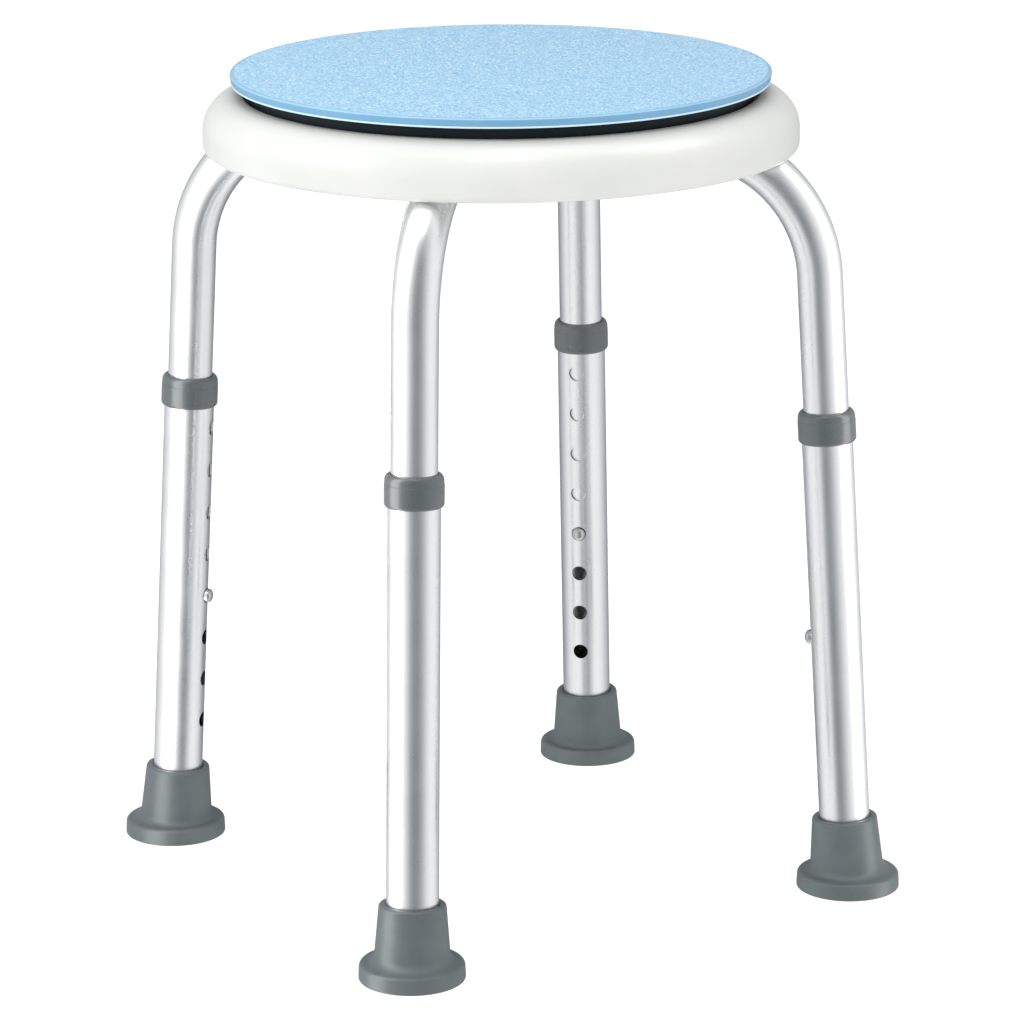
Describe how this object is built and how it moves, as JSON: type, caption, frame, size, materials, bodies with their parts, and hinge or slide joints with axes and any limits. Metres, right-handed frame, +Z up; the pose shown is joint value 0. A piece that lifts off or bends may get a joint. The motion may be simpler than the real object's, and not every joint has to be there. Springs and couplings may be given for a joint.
{
  "type": "swivel shower stool",
  "caption": "Round shower stool with a turning blue seat plate on a white moulded seat, and splayed tube legs whose height is set by snap buttons in a row of holes.",
  "frame": {"origin": "on the floor, under the centre of the seat", "axes": "+Z up along the swivel axis; the legs stand on the diagonals between X and Y, the front pair at -Y"},
  "size_m": [0.3442, 0.3442, 0.4643],
  "materials": {
    "white_plastic": "satin",
    "blue_plastic": "satin, fine sparkling grain",
    "dark_plastic": "matte",
    "grey_plastic": "satin",
    "grey_rubber": "matte",
    "anodised_aluminium": "satin anodised",
    "steel": "polished",
    "nylon": "matte"
  },
  "bodies": {
    "frame": {"seat_shell": "white_plastic", "leg_hub": "white_plastic", "lower_race": "steel", "pivot_bolt": "steel", "pivot_bush": "nylon", "pivot_washer": "steel", "hub_washer": "steel", "lock_nut": "steel", "hub_screw_right": "steel", "hub_screw_rear": "steel", "hub_screw_left": "steel", "hub_screw_front": "steel", "upper_tube_front_left": "anodised_aluminium", "upper_tube_front_right": "anodised_aluminium", "upper_tube_rear_right": "anodised_aluminium", "upper_tube_rear_left": "anodised_aluminium", "leg_screw_front_left": "steel", "leg_screw_front_right": "steel", "leg_screw_rear_right": "steel", "leg_screw_rear_left": "steel", "button_spring_front_left": "steel", "button_spring_front_right": "steel", "button_spring_rear_right": "steel", "button_spring_rear_left": "steel"},
    "swivel_seat": {"seat_plate": "blue_plastic", "turntable_carrier": "dark_plastic", "upper_race": "steel", "plate_screw_1": "steel", "plate_screw_2": "steel", "plate_screw_3": "steel", "plate_screw_4": "steel"},
    "bearing_cage": {"ball_cage": "nylon"},
    "leg_front_left": {"lower_tube_front_left": "anodised_aluminium", "collar_front_left": "grey_plastic", "foot_front_left": "grey_rubber", "foot_washer_front_left": "steel"},
    "leg_front_right": {"lower_tube_front_right": "anodised_aluminium", "collar_front_right": "grey_plastic", "foot_front_right": "grey_rubber", "foot_washer_front_right": "steel"},
    "leg_rear_right": {"lower_tube_rear_right": "anodised_aluminium", "collar_rear_right": "grey_plastic", "foot_rear_right": "grey_rubber", "foot_washer_rear_right": "steel"},
    "leg_rear_left": {"lower_tube_rear_left": "anodised_aluminium", "collar_rear_left": "grey_plastic", "foot_rear_left": "grey_rubber", "foot_washer_rear_left": "steel"},
    "button_front_left": {"snap_button_front_left": "steel"},
    "button_front_right": {"snap_button_front_right": "steel"},
    "button_rear_right": {"snap_button_rear_right": "steel"},
    "button_rear_left": {"snap_button_rear_left": "steel"}
  },
  "joints": [
    {"name": "seat_swivel", "type": "hinge", "parent": "frame", "child": "swivel_seat", "pos_m": [0, 0, 0.4583], "axis": [0, 0, 1], "continuous": true},
    {"name": "cage_turn", "type": "hinge", "parent": "frame", "child": "bearing_cage", "pos_m": [0, 0, 0.4514], "axis": [0, 0, 1], "continuous": true},
    {"name": "leg_slide_front_left", "type": "slide", "parent": "frame", "child": "leg_front_left", "axis": [-0.0397, -0.0397, -0.9984], "range_m": [-0.0762, 0.1016], "deforming": ["snap_button_front_left", "button_spring_front_left"]},
    {"name": "leg_slide_front_right", "type": "slide", "parent": "frame", "child": "leg_front_right", "axis": [0.0397, -0.0397, -0.9984], "range_m": [-0.0762, 0.1016], "deforming": ["snap_button_front_right", "button_spring_front_right"]},
    {"name": "leg_slide_rear_right", "type": "slide", "parent": "frame", "child": "leg_rear_right", "axis": [0.0397, 0.0397, -0.9984], "range_m": [-0.0762, 0.1016], "deforming": ["snap_button_rear_right", "button_spring_rear_right"]},
    {"name": "leg_slide_rear_left", "type": "slide", "parent": "frame", "child": "leg_rear_left", "axis": [-0.0397, 0.0397, -0.9984], "range_m": [-0.0762, 0.1016], "deforming": ["snap_button_rear_left", "button_spring_rear_left"]},
    {"name": "button_press_front_left", "type": "slide", "parent": "frame", "child": "button_front_left", "axis": [-0.706, -0.706, 0.0562], "range_m": [0, 0.0053], "stiffness_N_per_m": 600, "springref_m": -0.02, "deforming": ["button_spring_front_left"]},
    {"name": "button_press_front_right", "type": "slide", "parent": "frame", "child": "button_front_right", "axis": [0.706, -0.706, 0.0562], "range_m": [0, 0.0053], "stiffness_N_per_m": 600, "springref_m": -0.02, "deforming": ["button_spring_front_right"]},
    {"name": "button_press_rear_right", "type": "slide", "parent": "frame", "child": "button_rear_right", "axis": [0.706, 0.706, 0.0562], "range_m": [0, 0.0053], "stiffness_N_per_m": 600, "springref_m": -0.02, "deforming": ["button_spring_rear_right"]},
    {"name": "button_press_rear_left", "type": "slide", "parent": "frame", "child": "button_rear_left", "axis": [-0.706, 0.706, 0.0562], "range_m": [0, 0.0053], "stiffness_N_per_m": 600, "springref_m": -0.02, "deforming": ["button_spring_rear_left"]}
  ],
  "couplings": [
    {"joint": "cage_turn", "follows": "seat_swivel", "ratio": 0.5}
  ]
}
